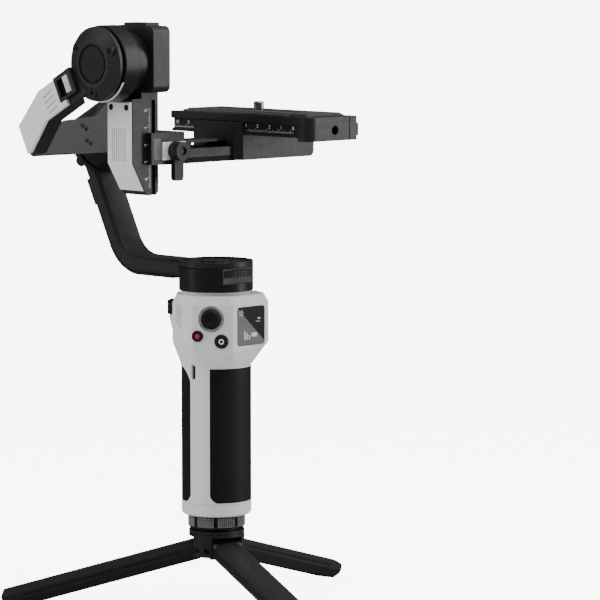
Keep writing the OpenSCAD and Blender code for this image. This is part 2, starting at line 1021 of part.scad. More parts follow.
// Side view of the arm's side bar.
module side_view() {
    polygon([[8, 7], [33, 6.6], [50, 6.6], [corner_l, -3], [roll_plate_l, -3], [roll_plate_l, -17.6],
        [plate_near, -20.8], [corner_l, -23.6], [50.6, -12.6], [30, -12.4], [8, -12]]);
}

// Plan view of the side bar and of its corner with the rear plate.
module corner_plan() {
    polygon([
        [-side_out, 8], [-side_out, corner_l], [-side_out + 1, corner_l + 4],
        [-side_out + corner_cut - 3, roll_plate_l], [-50, roll_plate_l], [-50, plate_near],
        [-side_in + 4.5, plate_near], [-side_in, plate_near - 5], [-side_in, 27],
        [-tilt_face + tilt_bracket_t, 22], [-tilt_face + tilt_bracket_t, 8]
    ]);
}

// Screws that hold the rear plate to the roll motor's cover, in two slanting pairs.
plate_screws = [[-42.1, -3.3], [-40, -5.4], [-42.5, -13.2], [-40.4, -15.3]];

module roll_arm() {
    color(plastic_black)
        roll_frame()
            difference() {
                union() {
                    intersection() {
                        side_slab(-side_out, -50)
                            side_view();
                        plan_slab(-30, 10)
                            corner_plan();
                    }
                    // Plate in front of the roll motor
                    translate([0, roll_plate_l, 0])
                        rotate([90, 0, 0])
                            linear_extrude(roll_plate_t) {
                                polygon([[-60, -3], [-60, -17.6], [-30, -17.6], [-8, -16.6], [-7, 17.1],
                                    [-30, 2.4], [-46, 1], [-56, 0.6]]);
                                circle(r = roll_end_r, $fn = 96);
                            }
                    // Its lower edge slopes to the rear.
                    side_slab(-62, -26)
                        polygon([[plate_near, -10], [roll_plate_l, -10], [roll_plate_l, -17.6],
                            [plate_near, -21.8]]);
                    at_tilt_in_roll()
                        bracket_bowl(tilt_r - 0.7, tilt_bracket_t, 2.6, tilt_turns);
                    // Block of the tilt lock
                    block([-side_out - 2.6, 18, -8.6], [-side_out + 3, 33.7, 6.6]);
                }
                at_tilt_in_roll()
                    bracket_bores(tilt_bracket_t, tilt_turns);
                // Slot of the tilt lock slider
                block([-side_out - 4, 20.9, -6.8], [-side_out + 0.6, 31.6, 3.9]);
                // Screw at the end of the roll motor's shaft
                translate([0, plate_near - 1, 0])
                    rotate([-90, 0, 0])
                        cylinder(r = shaft_r + 0.02, h = 12);
                for (c = plate_screws)
                    translate([c.x, plate_near - 1, c.y])
                        rotate([-90, 0, 0])
                            cylinder(r = 0.85, h = 6);
            }
}

// The tilt motor's place, counted inside the roll axis' frame.
module at_tilt_in_roll() {
    translate([-tilt_face, 0, 0])
        rotate([roll_slope, 0, 0])
            rotate([0, 90, 0])
                children();
}

module roll_arm_cover() {
    slats = 4;
    wrap = 3.6;
    thick = 2;
    color(shell_grey)
        roll_frame()
            difference() {
                intersection() {
                    side_slab(-side_out - thick - 1, -side_out + 2)
                        polygon([[29, 6], [49.6, 6], [corner_l, -3.6], [corner_l + wrap, -3.8],
                            [corner_l + wrap, -22], [corner_l, -23], [50.8, -12.2], [29, -12]]);
                    plan_slab(-30, 10)
                        polygon([[-side_out, 20], [-side_out - thick, 20], [-side_out - thick, corner_l],
                            [-side_out - thick + 1, corner_l + wrap + 0.1],
                            [-side_out + (wrap + 0.1) / 4, corner_l + wrap + 0.1], [-side_out, corner_l]]);
                }
                // Room for the block of the tilt lock
                block([-side_out - 4, 20, -8.7], [-side_out + 1, 33.8, 8]);
                for (i = [0:slats - 1])
                    translate([-side_out - thick, 42, 1 - 3.4 * i])
                        rotate([-8, 0, 0])
                            cube([1.2, 9, 0.8], center = true);
            }
}

module roll_motor_can() {
    color(metal_black)
        at_roll_motor()
            translate([0, 0, roll_bracket_t + can_gap])
                motor_can(roll_r, roll_can_h, roll_r - 3, 0);
}

module tilt_motor_base() {
    color(metal_black)
        at_tilt_motor()
            motor_base(tilt_bracket_t, tilt_can_h - 2.6, -0.4, tilt_turns);
}

module tilt_stator() {
    at_tilt_motor()
        translate([0, 0, tilt_bracket_t + can_gap])
            stator_core(1, tilt_can_h - tilt_neck_h - 1.4, 15.4);
}

module tilt_bearings() {
    at_tilt_motor()
        bearing_pair(2, tilt_bracket_t + tilt_can_h - 2.8);
}

module roll_arm_screws() {
    color(steel) {
        at_tilt_motor()
            for (a = tilt_turns)
                rotate([0, 0, a])
                    translate([lug_r, 0, 1.75])
                        mirror([0, 0, 1])
                            screw(0.8, tilt_bracket_t - 1, 1.9, 1.1);
        roll_frame()
            for (c = plate_screws)
                translate([c.x, plate_near - 0.05, c.y])
                    rotate([90, 0, 0])
                        screw(0.8, 4, 1.3, 0.7);
    }
}

module tilt_lock_slider() {
    color(silver)
        roll_frame()
            difference() {
                block([-side_out - 3.6, 21.2, -6.4], [-side_out + 0.5, 24.9, 3.5]);
                for (y = [22.2:1:24.3])
                    block([-side_out - 4, y - 0.25, -8], [-side_out - 3.2, y + 0.25, 5]);
            }
}

// ---------- tilt axis ----------

arm_bottom = 253.7;
bend_z = 272.7;
foot_x = 66;
block_z0 = 313.6;
block_z1 = 352;
arm_half = 10;

// Extrudes an outline drawn in X and Z, centred across Y, to the full width w.
module front_slab(w) {
    rotate([90, 0, 0])
        linear_extrude(w, center = true)
            children();
}

module tilt_arm() {
    color(plastic_black)
        difference() {
            union() {
                front_slab(2 * arm_half)
                    polygon([[-tilt_arm_x, 310], [-tilt_arm_x, bend_z], [-foot_x, arm_bottom + 2.6],
                        [-foot_x + 2.4, arm_bottom], [-block_in - 2, arm_bottom], [-block_in, arm_bottom + 2],
                        [-block_in, 320], [-can_in, 320], [-can_in, 310]]);
                // Rounded block beside the motor
                translate([-can_in + 0.05, 0, (block_z0 + block_z1) / 2])
                    rotate([90, 0, 90])
                        linear_extrude(can_in - block_in - 0.05)
                            round_rect(41, block_z1 - block_z0, 4);
                // Raised latch pad on top
                block([-can_in + 1, -13, block_z1 - 1], [-block_in - 1.5, 6, block_z1 + 1.8]);
            }
            // Grooves that the clamp's lips run in
            for (s = [-1, 1])
                block([-60, min(s * 7.5, s * 12), 240], [-57.5, max(s * 7.5, s * 12), 309]);
            // Room for the motor's neck
            translate([-can_in - 15, 0, axes_z])
                rotate([0, 90, 0])
                    cylinder(r = tilt_neck_r + 0.6, h = 15, $fn = 96);
            translate([-can_in - 1, 0, axes_z])
                rotate([0, 90, 0])
                    cylinder(r = shaft_r + 0.02, h = 8);
            // Pocket in the inner face
            translate([-block_in - 1.2, 0, axes_z + 1])
                rotate([90, 0, 90])
                    linear_extrude(3)
                        round_rect(30, 27, 3);
            for (y = [-6.6, 6.6])
                translate([-tilt_arm_x - 1, y, 305])
                    rotate([0, 90, 0])
                        cylinder(r = 0.85, h = 8);
        }
}

module tilt_arm_cover() {
    rib_pitch = 1.9;
    thick = 1.8;
    color(shell_grey)
        difference() {
            front_slab(2 * arm_half - 0.8)
                polygon([[-tilt_arm_x, 308.4], [-tilt_arm_x - thick, 307.8], [-tilt_arm_x - thick, bend_z - 0.3],
                    [-foot_x - thick * 0.95, arm_bottom + 3.2], [-foot_x - 1, arm_bottom + 2.6],
                    [-foot_x, arm_bottom + 2.6], [-tilt_arm_x, bend_z]]);
            for (y = [-3 * rib_pitch:rib_pitch:3 * rib_pitch + 0.1])
                block([-tilt_arm_x - thick - 1, y - 0.3, bend_z + 1], [-tilt_arm_x - thick + 0.4, y + 0.3, 293]);
            for (y = [-6.6, 6.6])
                translate([-tilt_arm_x - 4, y, 305])
                    rotate([0, 90, 0]) {
                        cylinder(r = 0.87, h = 8);
                        cylinder(r = 1.9, h = 3);
                    }
        }
}

module tilt_motor_can() {
    color(metal_black)
        at_tilt_motor()
            translate([0, 0, tilt_bracket_t + can_gap])
                motor_can(tilt_r, tilt_can_h, tilt_neck_r, tilt_neck_h);
}

module tilt_rotor() {
    at_tilt_motor()
        translate([0, 0, tilt_bracket_t + can_gap])
            rotor_set(-4.4, tilt_can_h + 4, 16, 20.3, 1, tilt_can_h - tilt_neck_h - 2.6);
}

module tilt_arm_screws() {
    color(steel)
        for (y = [-6.6, 6.6])
            translate([-tilt_arm_x - 1, y, 305])
                rotate([0, -90, 0])
                    screw(0.8, 6, 1.7, 0.8);
}

// ---------- cross arm ----------

// Section of the rail across Y and Z.
rail_outline = [[-11.6, 0], [11.6, 0], [14, 3.5], [14, 8.7], [-14, 8.7], [-14, 3.5]];

module cross_arm() {
    color(plastic_black)
        difference() {
            union() {
                translate([-53.8, 0, rail_z0])
                    rotate([90, 0, 90])
                        linear_extrude(rail_x1 + 53.8)
                            polygon(rail_outline);
                // Upper bar over the window
                block([-40, -8, rail_z0 + 8.6], [rail_x1, 8, 284.3]);
                // Clamp round the guide
                block([-64, -14, 271.5], [-38, 14, 290]);
            }
            block([-27, -9, rail_z0 + 8.7], [60, 9, 282.6]);
            // Slot for the guide
            block([-57.5 - slide_gap, -10 - slide_gap, 260], [-block_in + slide_gap, 10 + slide_gap, 295]);
            block([-62, -7.5 - slide_gap, 260], [-57, 7.5 + slide_gap, 295]);
            block([-70, -10 - slide_gap, 260], [-60 + slide_gap, 10 + slide_gap, 295]);
            // Seat of the jaw
            block([-56.2, -20, 273.8], [-37.8, -11.6, 284.7]);
            // Hole of the lever's screw
            translate([-46.5, -20, 279.2])
                rotate([-90, 0, 0])
                    cylinder(r = 2.1, h = 20);
        }
}

module clamp_jaw() {
    color(silver)
        difference() {
            block([-56, -15, 274], [-38, -11.7, 284.5]);
            translate([-46.5, -20, 279.2])
                rotate([-90, 0, 0])
                    cylinder(r = 2.1, h = 20);
        }
}

// Clamp lever whose hub turns about local -Y, with its handle hanging down.
module lever(hub_len, drop_z, shank) {
    difference() {
        union() {
            rotate([90, 0, 0])
                cylinder(r = 5.5, h = hub_len);
            translate([0, -hub_len / 2, -drop_z / 2])
                rotate([90, 0, 180])
                    linear_extrude(hub_len / 2 - 0.15)
                        round_rect(7, drop_z, 2);
        }
        translate([0, -hub_len + 1.2, 0])
            rotate([90, 0, 0])
                cylinder(r = 2.45, h = 3);
    }
    translate([0, shank, 0])
        rotate([90, 0, 0])
            cylinder(r = 2, h = shank + 1);
}

module clamp_lever() {
    color(plastic_black)
        translate([-46.5, -15.1, 279.2])
            lever(7.3, 17.4, 8);
}

module saddle() {
    g = slide_gap;
    color(plastic_black)
        difference() {
            union() {
                block([0, -19.5, 271.5], [62.7, 19.5, plate_z0 - g]);
                // Jaws on both sides of the plate
                block([0, -19.5, plate_z0 - 1], [plate_x - dove_half_w - g, 19.5, plate_step - 0.4]);
                block([plate_x + dove_half_w + g, -19.5, plate_z0 - 1], [62.7, 19.5, plate_step - 0.4]);
            }
            // Channel for the rail
            translate([-1, 0, rail_z0])
                rotate([90, 0, 90])
                    linear_extrude(70)
                        polygon([[-11.6 - g, -1], [11.6 + g, -1], [11.6 + g, 0], [14 + g, 3.5 - g],
                            [14 + g, 8.7 + g], [-14 - g, 8.7 + g], [-14 - g, 3.5 - g], [-11.6 - g, 0]]);
            block([-1, -8 - g, rail_z0 + 8], [70, 8 + g, 284.3 + g]);
            // Undercuts for the plate's foot
            block([plate_x - dove_half_w - foot_out - g, -25, plate_z0 - g],
                [plate_x + dove_half_w + foot_out + g, 25, plate_z0 + foot_t + g]);
            // Chamfer down the front left edge
            translate([0, -19.5, 280])
                rotate([0, 0, 45])
                    cube([5.6, 5.6, 40], center = true);
            // Chamfer under the right end
            translate([62.7, 0, 271.5])
                rotate([0, 45, 0])
                    cube([3, 60, 3], center = true);
            // Screw hole of the saddle knob
            translate([36, 5, 277])
                rotate([-90, 0, 0])
                    cylinder(r = 2 + run_gap, h = 20);
            // Screw hole of the plate lever
            translate([lever_x, 0, 288])
                cylinder(r = 2 + run_gap, h = 10);
        }
}

module saddle_knob() {
    flutes = 8;
    color(plastic_black)
        translate([36, 19.6, 277])
            rotate([-90, 0, 0])
                difference() {
                    union() {
                        cylinder(r = 5.6, h = 5.5);
                        translate([0, 0, -4.5])
                            cylinder(r = 2, h = 5);
                    }
                    for (i = [0:flutes - 1])
                        rotate([0, 0, (i + 0.5) * 360 / flutes])
                            translate([6.3, 0, -0.5])
                                cylinder(r = 1.3, h = 7);
                }
}

lever_x = 53.5;

module plate_lever() {
    color(plastic_black)
        translate([lever_x, 0, plate_step - 0.3]) {
            cylinder(r = 4.4, h = 3.6);
            block([-3, 0, 0], [3, 22, 3.6]);
            translate([0, 22, 0])
                cylinder(r = 3, h = 3.6);
            translate([0, 0, -5])
                cylinder(r = 2, h = 6);
        }
}

// ---------- camera plate ----------

foot_out = 1.6;
foot_t = 1.8;
lip_len = 9.3;
lip_z0 = 284.5;
seam_x = 36.8;

module camera_plate() {
    screw_y0 = -46;
    screw_y1 = 22;
    color(metal_black)
        difference() {
            union() {
                // Lower part with the scale on its side, and its foot
                block([plate_x - dove_half_w, -plate_front + 4, plate_z0],
                    [plate_x + dove_half_w, plate_rear, plate_step + 0.1]);
                block([plate_x - dove_half_w - foot_out, -plate_front + lip_len, plate_z0],
                    [plate_x + dove_half_w + foot_out, plate_rear, plate_z0 + foot_t]);
                // Upper part, rounded at its front corners
                plate_outline(plate_step, plate_z1)
                    block_outline(plate_rear);
                // Deep lip across the front
                plate_outline(lip_z0, plate_step + 0.1)
                    block_outline(-plate_front + lip_len);
                // Stop on the right side of the lip
                block([plate_x + plate_half_w - 1, -plate_front + 1, plate_z0 + 0.3],
                    [plate_x + plate_half_w + 0.9, -plate_front + lip_len, plate_step]);
            }
            // Threaded hole in the front face for accessories
            translate([25.1, -plate_front - 1, 290.6])
                rotate([-90, 0, 0])
                    cylinder(r = 2.7, h = 10);
            // Seam of the clamping strip at the front's right end
            block([seam_x, -plate_front - 1, lip_z0 - 1], [seam_x + 0.5, -plate_front + 0.8, plate_z1 + 1]);
            // Slot for the camera screw, with a pocket below for its head
            block([plate_x - 3.3, screw_y0, 280], [plate_x + 3.3, screw_y1, 310]);
            for (y = [screw_y0, screw_y1])
                translate([plate_x, y, 280])
                    cylinder(r = 3.3, h = 30);
            block([plate_x - 10.5, screw_y0, 280], [plate_x + 10.5, screw_y1, pocket_z]);
            for (y = [screw_y0, screw_y1])
                translate([plate_x, y, 280])
                    cylinder(r = 10.5, h = pocket_z - 280);
        }
}

pocket_z = 295.2;

// Extrudes the plate's plan outline between two heights.
module plate_outline(z0, z1) {
    translate([0, 0, z0])
        linear_extrude(z1 - z0)
            children();
}

// Plan outline of the plate from its front face back to rear, with round front corners.
module block_outline(rear) {
    corner = 6;
    translate([plate_x - plate_half_w, -plate_front + corner])
        square([2 * plate_half_w, rear + plate_front - corner]);
    translate([plate_x - plate_half_w + corner, -plate_front])
        square([2 * plate_half_w - corner - 1.5, rear + plate_front]);
    translate([plate_x - plate_half_w + corner, -plate_front + corner])
        circle(r = corner);
    translate([plate_x + plate_half_w - 1.5, -plate_front + 1.5])
        square([1.5, corner]);
}

// Ribbed rubber pad on the plate, in two widths, open over the screw slot.
module plate_pad() {
    tooth = 2.2;
    color(rubber_black)
        difference() {
            union() {
                block([plate_x - 15, -68, plate_z1], [plate_x + 15, 38, plate_z1 + 1.1]);
                block([plate_x - 18.5, -54, plate_z1], [plate_x + 18.5, 30, plate_z1 + 1.1]);
                for (y = [-67:tooth:36])
                    block([plate_x - 14, y, plate_z1 + 1], [plate_x + 14, y + 1.1, plate_z1 + 1.9]);
            }
            block([plate_x - 4.2, -50, plate_z1 - 1], [plate_x + 4.2, 26, plate_z1 + 4]);
        }
}

module camera_screw() {
    color(steel)
        translate([plate_x, camera_screw_y, 0]) {
            translate([0, 0, 288.6])
                difference() {
                    cylinder(r = 9, h = pocket_z - 288.7);
                    translate([0, 0, -1])
                        cylinder(r = 5, h = 3.4, $fn = 6);
                }
            // Plain neck in the slot, then the camera thread
            translate([0, 0, pocket_z - 0.2])
                cylinder(r = 2.6, h = plate_z1 - pocket_z + 0.8);
            translate([0, 0, plate_z1 + 0.5])
                cylinder(r = camera_thread_r, h = 5.9);
            translate([0, 0, plate_z1 + 6.4 - eps])
                cylinder(r1 = camera_thread_r, r2 = camera_thread_r - 0.6, h = 0.6);
        }
}

module leg_1() { leg(1); }
module leg_2() { leg(2); }
module leg_3() { leg(3); }
module leg_pad_1() { leg_pad(1); }
module leg_pad_2() { leg_pad(2); }
module leg_pad_3() { leg_pad(3); }

// Moves a part so that the middle of the camera stud's thread is the origin.
module from_stud() {
    translate([-plate_x, -camera_screw_y, -camera_stud_z])
        children();
}

from_stud() handle_shell_front();
from_stud() handle_shell_rear();
from_stud() handle_base_cap();
from_stud() grip_pad_right();
from_stud() grip_pad_left();
from_stud() screen_glass();
from_stud() main_board();
from_stud() battery_cells();
from_stud() usb_socket();
from_stud() base_socket();
from_stud() pan_motor_housing();
from_stud() pan_stator();
from_stud() pan_bearings();
from_stud() handle_screws();
from_stud() tripod_hub();
from_stud() leg_pins();
from_stud() mount_ring();
from_stud() leg_1();
from_stud() leg_2();
from_stud() leg_3();
from_stud() leg_pad_1();
from_stud() leg_pad_2();
from_stud() leg_pad_3();
from_stud() joystick_cradle();
from_stud() joystick();
from_stud() record_button();
from_stud() mode_button();
from_stud() trigger();
from_stud() pan_lock_slider();
from_stud() pan_arm();
from_stud() pan_arm_cover();
from_stud() pan_rotor();
from_stud() roll_motor_base();
from_stud() roll_stator();
from_stud() roll_bearings();
from_stud() pan_arm_screws();
from_stud() roll_lock_slider();
from_stud() roll_arm();
from_stud() roll_arm_cover();
from_stud() roll_motor_can();
from_stud() roll_rotor();
from_stud() tilt_motor_base();
from_stud() tilt_stator();
from_stud() tilt_bearings();
from_stud() roll_arm_screws();
from_stud() tilt_lock_slider();
from_stud() tilt_arm();
from_stud() tilt_arm_cover();
from_stud() tilt_motor_can();
from_stud() tilt_rotor();
from_stud() tilt_arm_screws();
from_stud() cross_arm();
from_stud() clamp_jaw();
from_stud() clamp_lever();
from_stud() saddle();
from_stud() saddle_knob();
from_stud() plate_lever();
from_stud() camera_plate();
from_stud() plate_pad();
from_stud() camera_screw();
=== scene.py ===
import math

import bmesh
import bpy
from mathutils import Matrix, Vector


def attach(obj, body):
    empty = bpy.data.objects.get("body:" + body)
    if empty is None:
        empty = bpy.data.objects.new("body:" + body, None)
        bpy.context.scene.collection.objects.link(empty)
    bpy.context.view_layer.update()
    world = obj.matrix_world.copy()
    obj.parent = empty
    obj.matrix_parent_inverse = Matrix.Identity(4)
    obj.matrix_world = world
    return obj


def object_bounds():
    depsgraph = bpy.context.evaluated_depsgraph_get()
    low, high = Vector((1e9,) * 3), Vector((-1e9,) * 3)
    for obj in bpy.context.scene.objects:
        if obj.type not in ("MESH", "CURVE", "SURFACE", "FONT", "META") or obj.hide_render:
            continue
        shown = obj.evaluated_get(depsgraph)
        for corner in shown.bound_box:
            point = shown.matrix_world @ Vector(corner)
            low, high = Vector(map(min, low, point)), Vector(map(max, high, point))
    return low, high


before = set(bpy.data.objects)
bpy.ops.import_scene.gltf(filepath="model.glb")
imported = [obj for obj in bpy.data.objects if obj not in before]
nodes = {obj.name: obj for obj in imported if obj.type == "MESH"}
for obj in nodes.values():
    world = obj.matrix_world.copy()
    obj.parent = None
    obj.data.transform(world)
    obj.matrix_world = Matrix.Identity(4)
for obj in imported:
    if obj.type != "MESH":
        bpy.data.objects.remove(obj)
cad_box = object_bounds()
MM = 0.001
BASE = Vector((-24, 12, -302))     # where the pan axis meets the floor, in mm from the camera stud

# ---------- materials ----------


def node(tree, kind, **values):
    """Adds a shader node, and sets its properties and its inputs by name."""
    n = tree.nodes.new(kind)
    for key, value in values.items():
        if key in n.inputs:
            n.inputs[key].default_value = value
        else:
            setattr(n, key, value)
    return n


def maths(tree, op, a, b=0.5, clamp=False):
    """A maths node whose inputs are sockets or plain numbers."""
    n = tree.nodes.new("ShaderNodeMath")
    n.operation = op
    n.use_clamp = clamp
    for i, v in enumerate((a, b)):
        if hasattr(v, "is_linked"):
            tree.links.new(v, n.inputs[i])
        else:
            n.inputs[i].default_value = v
    return n.outputs[0]


def mixed(tree, factor, a, b, blend="MIX"):
    """A colour mix of two colours or sockets."""
    n = tree.nodes.new("ShaderNodeMix")
    n.data_type = "RGBA"
    n.blend_type = blend
    for socket, v in ((n.inputs[0], factor), (n.inputs[6], a), (n.inputs[7], b)):
        if hasattr(v, "is_linked"):
            tree.links.new(v, socket)
        elif isinstance(v, (int, float)):
            socket.default_value = v
        else:
            socket.default_value = (*v, 1.0)
    return n.outputs[2]


def noise(tree, place, size_mm, detail=2.0, stretch=(1, 1, 1)):
    """Noise whose features are about size_mm across, in object space."""
    m = node(tree, "ShaderNodeMapping")
    m.inputs["Scale"].default_value = stretch
    tree.links.new(place, m.inputs["Vector"])
    n = node(tree, "ShaderNodeTexNoise", Scale=1.0 / (size_mm * MM), Detail=detail)
    tree.links.new(m.outputs[0], n.inputs["Vector"])
    return n.outputs["Fac"]


def surface(name, colour, rough, metal=0.0, grain=0.5, depth=0.02, mottle=0.06, spread=0.08,
            edge_mm=0.35, wear=0.25, worn=None, coat=0.0, stretch=(1, 1, 1), spec=0.4):
    """A finished surface: grain in the bump, uneven colour and roughness, rounded and worn edges.

    grain is the grain's size and depth its height, both in mm; stretch draws the grain out into brushing.
    """
    mat = bpy.data.materials.new(name)
    mat.use_nodes = True
    tree = mat.node_tree
    link = tree.links.new
    shader = tree.nodes["Principled BSDF"]
    place = node(tree, "ShaderNodeTexCoord").outputs["Object"]
    fine = noise(tree, place, grain, 3.0, stretch)
    broad = noise(tree, place, 18.0, 3.0)
    patch = noise(tree, place, 3.5, 4.0)

    # rounded edges, and how far the surface is from flat there
    bevel = node(tree, "ShaderNodeBevel", samples=4, Radius=edge_mm * MM)
    geometry = node(tree, "ShaderNodeNewGeometry")
    dot = node(tree, "ShaderNodeVectorMath", operation="DOT_PRODUCT")
    link(bevel.outputs[0], dot.inputs[0])
    link(geometry.outputs["Normal"], dot.inputs[1])
    edge = maths(tree, "MULTIPLY", maths(tree, "SUBTRACT", 1.0, dot.outputs["Value"]), 3.5, clamp=True)
    scuffed = maths(tree, "MULTIPLY", edge, maths(tree, "MULTIPLY", patch, 1.6, clamp=True), clamp=True)

    light = tuple(min(1.0, c * (1 + 2 * mottle)) for c in colour)
    dark = tuple(c * (1 - 2 * mottle) for c in colour)
    base = mixed(tree, 0.5, colour, mixed(tree, broad, dark, light))
    base = mixed(tree, maths(tree, "MULTIPLY", fine, mottle), base, light)
    worn = worn or tuple(min(1.0, c * 1.9 + 0.03) for c in colour)
    base = mixed(tree, maths(tree, "MULTIPLY", scuffed, wear), base, worn)
    link(base, shader.inputs["Base Color"])

    swing = maths(tree, "MULTIPLY", maths(tree, "SUBTRACT", patch, 0.5), 2 * spread)
    uneven = maths(tree, "ADD", swing, rough)
    link(maths(tree, "SUBTRACT", uneven, maths(tree, "MULTIPLY", scuffed, 0.1), clamp=True),
         shader.inputs["Roughness"])
    shader.inputs["Metallic"].default_value = metal
    shader.inputs["Specular IOR Level"].default_value = spec
    shader.inputs["Coat Weight"].default_value = coat
    shader.inputs["Coat Roughness"].default_value = 0.12

    bump = node(tree, "ShaderNodeBump", Strength=1.0, Distance=depth * MM)
    link(fine, bump.inputs["Height"])
    link(bevel.outputs[0], bump.inputs["Normal"])
    link(bump.outputs[0], shader.inputs["Normal"])
    return mat


GREY = surface("grey_plastic", (0.55, 0.56, 0.575), 0.5, grain=0.35, depth=0.006, mottle=0.025,
               wear=0.12, worn=(0.66, 0.67, 0.68))
BLACK = surface("black_plastic", (0.0105, 0.0105, 0.0112), 0.46, grain=0.4, depth=0.012, mottle=0.1)
COATED = surface("black_coating", (0.0115, 0.0115, 0.0125), 0.42, grain=0.3, depth=0.008, mottle=0.1,
                 worn=(0.07, 0.07, 0.075), edge_mm=0.5)
ANODISED = surface("black_anodised", (0.011, 0.011, 0.012), 0.36, metal=0.35, grain=0.25, depth=0.004,
                   mottle=0.12, worn=(0.12, 0.12, 0.125))
CAST = surface("black_casting", (0.0105, 0.0105, 0.0115), 0.5, grain=0.35, depth=0.012, mottle=0.1,
               worn=(0.07, 0.07, 0.075), edge_mm=0.5, spec=0.2)
RUBBER = surface("black_rubber", (0.0065, 0.0065, 0.007), 0.62, grain=0.28, depth=0.03, mottle=0.15,
                 wear=0.15, spec=0.25)
GRIP = surface("grip_rubber", (0.0055, 0.0055, 0.0058), 0.55, grain=0.22, depth=0.02, mottle=0.12,
               wear=0.1, spec=0.25)
STEEL = surface("turned_steel", (0.35, 0.35, 0.36), 0.3, metal=1.0, grain=0.2, depth=0.004,
                mottle=0.05, stretch=(1, 1, 6))
DARK_STEEL = surface("blackened_steel", (0.03, 0.03, 0.032), 0.32, metal=0.8, grain=0.2, depth=0.005,
                     worn=(0.16, 0.16, 0.17))
BRIGHT = surface("ground_steel", (0.6, 0.6, 0.61), 0.18, metal=1.0, grain=0.15, depth=0.002, mottle=0.03)
SHEETS = surface("sheet_stack", (0.3, 0.3, 0.31), 0.42, metal=1.0, grain=0.5, depth=0.03,
                 stretch=(0.05, 0.05, 3))
SILVER = surface("satin_silver", (0.74, 0.755, 0.77), 0.38, metal=0.35, grain=0.25, depth=0.005,
                 mottle=0.04, worn=(0.8, 0.81, 0.82))
BOARD = surface("coated_board", (0.012, 0.09, 0.045), 0.35, grain=0.8, depth=0.02, mottle=0.2)
SLEEVE = surface("cell_sleeve", (0.03, 0.08, 0.26), 0.3, grain=1.2, depth=0.01, mottle=0.08)
MARK = surface("white_print", (0.72, 0.73, 0.74), 0.55, grain=0.2, depth=0.004, mottle=0.05, wear=0.0)
RED = surface("red_print", (0.42, 0.012, 0.028), 0.35, grain=0.3, depth=0.004, mottle=0.1, wear=0.0)
# The knurl is black metal like its ring. Its points are coloured pale grey as painted glint, where light
# catches their facets.
GLINT_KNURL = surface("knurl_painted_glint", (0.21, 0.21, 0.215), 0.3, metal=0.1, grain=0.2, depth=0.004, mottle=0.1,
                  worn=(0.2, 0.2, 0.205), wear=0.5, edge_mm=0.12, spec=0.5)
# The camera plate's rubber pad is coloured much paler than the other rubber. This is painted sheen, for light
# grazing its ribbed top.
PAD_RUBBER_PAINTED_SHEEN = surface("plate_rubber_painted_sheen", (0.05, 0.049, 0.049), 0.6, grain=0.3, depth=0.02, mottle=0.12,
                       wear=0.2)
PAD_GREY = surface("grey_insert", (0.095, 0.097, 0.1), 0.5, grain=0.3, depth=0.008, mottle=0.06)
ICON = surface("display_mark", (0.5, 0.52, 0.54), 0.4, grain=0.2, depth=0.002, wear=0.0)


def screen_material(origin, right):
    """Dark polished cover whose colour holds a paler triangle, a painted reflection of a window."""
    mat = surface("screen_cover", (0.006, 0.006, 0.007), 0.06, grain=2.0, depth=0.0006, mottle=0.05,
                  spread=0.02, wear=0.05, edge_mm=0.2, spec=0.02)
    tree = mat.node_tree
    link = tree.links.new
    shader = tree.nodes["Principled BSDF"]
    place = node(tree, "ShaderNodeTexCoord").outputs["Object"]
    slope = 0.92
    lean = Vector((right.x * slope, right.y * slope, 1.0))
    dot = node(tree, "ShaderNodeVectorMath", operation="DOT_PRODUCT")
    dot.inputs[1].default_value = lean
    link(place, dot.inputs[0])
    limit = origin.dot(lean) + 1.1 * MM
    # Beyond a slanted line the cover's colour turns paler. This is the painted reflection.
    reflection_mask = maths(tree, "MULTIPLY", maths(tree, "SUBTRACT", limit, dot.outputs["Value"]), 6000.0, clamp=True)
    drift = noise(tree, place, 9.0, 2.0)
    painted_reflection = mixed(tree, drift, (0.085, 0.088, 0.093), (0.13, 0.134, 0.14))
    link(mixed(tree, reflection_mask, (0.006, 0.006, 0.007), painted_reflection), shader.inputs["Base Color"])
    return mat


def dress(material, *names):
    """Gives CAD nodes a material."""
    for n in names:
        slots = nodes[n].data.materials
        for i in range(len(slots)):
            slots[i] = material


# ---------- mesh pieces ----------


def piece(name, bm, material, body, bevel=0.0, smooth=0.6):
    """Turns a bmesh into a piece that rides a body. Printed marks have no slot in the record."""
    bmesh.ops.remove_doubles(bm, verts=bm.verts, dist=1e-7)
    bmesh.ops.recalc_face_normals(bm, faces=bm.faces)
    mesh = bpy.data.meshes.new(name)
    bm.to_mesh(mesh)
    bm.free()
    obj = bpy.data.objects.new(name, mesh)
    bpy.context.scene.collection.objects.link(obj)
    mesh.materials.append(material)
    for p in mesh.polygons:
        p.use_smooth = True
    mesh.set_sharp_from_angle(angle=smooth)
    if bevel:
        mod = obj.modifiers.new("edges", "BEVEL")
        mod.width = bevel * MM
        mod.segments = 2
        mod.limit_method = "ANGLE"
        mod.angle_limit = 0.6
    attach(obj, body)
    return obj


def on_plane(origin, right, up):
    """A face's plane, with local Z out of it. The origin is in mm from the foot of the pan axis."""
    right, up = Vector(right).normalized(), Vector(up).normalized()
    out = right.cross(up)
    m = Matrix((right, up, out)).transposed().to_4x4()
    m.translation = (Vector(origin) + BASE) * MM
    return m


def slab(bm, frame_at, outline, low, high):
    """Adds a closed plate with the given outline (mm) between two heights (mm) over a face."""
    rings = []
    for z in (low, high):
        rings.append([bm.verts.new(frame_at @ Vector((x * MM, y * MM, z * MM))) for x, y in outline])
    count = len(outline)
    for i in range(count):
        j = (i + 1) % count
        bm.faces.new((rings[0][i], rings[0][j], rings[1][j], rings[1][i]))
    bm.faces.new(rings[0][::-1])
    bm.faces.new(rings[1])


def rect(x0, y0, x1, y1):
    return [(x0, y0), (x1, y0), (x1, y1), (x0, y1)]


